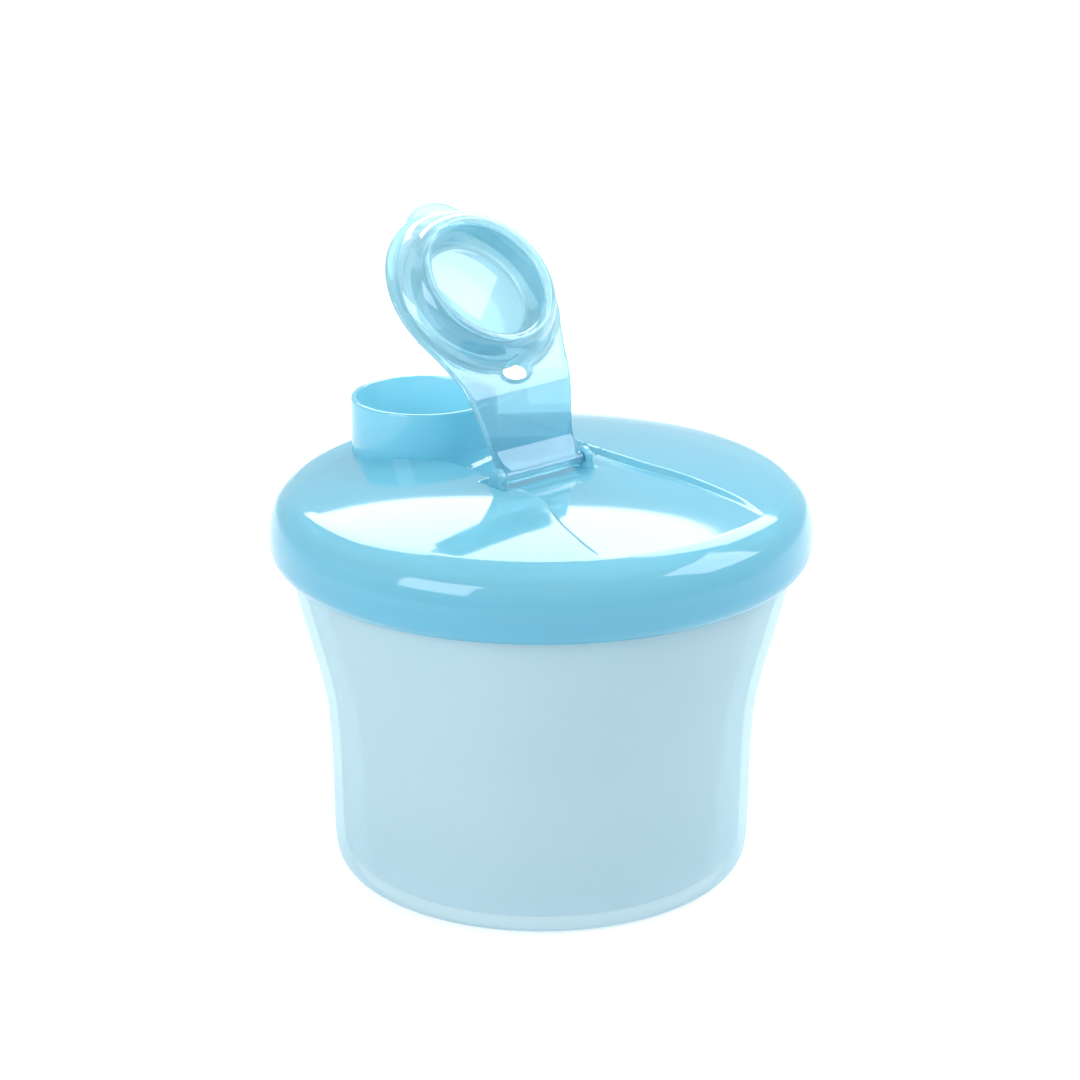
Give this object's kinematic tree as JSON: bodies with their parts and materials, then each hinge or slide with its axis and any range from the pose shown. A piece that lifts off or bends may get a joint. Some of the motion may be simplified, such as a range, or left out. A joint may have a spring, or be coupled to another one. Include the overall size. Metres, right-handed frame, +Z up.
{
  "type": "formula dispenser",
  "caption": "Round milk powder dispenser: frosted cup with a three-way divider, turning blue lid with a pouring spout and a hinged spout flap shown open.",
  "frame": {"origin": "centre of the cup's foot, on the surface it stands on", "axes": "+Z up along the cup's axis; the object's front is toward -Y, its right is +X"},
  "size_m": [0.1108, 0.1108, 0.1349],
  "materials": {
    "cup": "frosted translucent polypropylene",
    "divider": "frosted translucent polypropylene",
    "lid": "glossy translucent polypropylene",
    "flap": "glossy translucent polypropylene"
  },
  "bodies": {
    "cup": {"cup": "cup"},
    "divider": {"divider": "divider"},
    "lid": {"lid": "lid"},
    "flap": {"flap": "flap"}
  },
  "joints": [
    {"name": "divider_lift", "type": "slide", "parent": "cup", "child": "divider", "axis": [0, 0, 1], "range_m": [0, 0.085]},
    {"name": "lid_turn", "type": "hinge", "parent": "divider", "child": "lid", "pos_m": [0, 0, 0.0767], "axis": [0, 0, 1], "continuous": true},
    {"name": "flap_swing", "type": "hinge", "parent": "lid", "child": "flap", "pos_m": [0.00004, -0.00843, 0.087], "axis": [0.7547, 0.6561, 0], "range_deg": [-47.5, 60]}
  ]
}
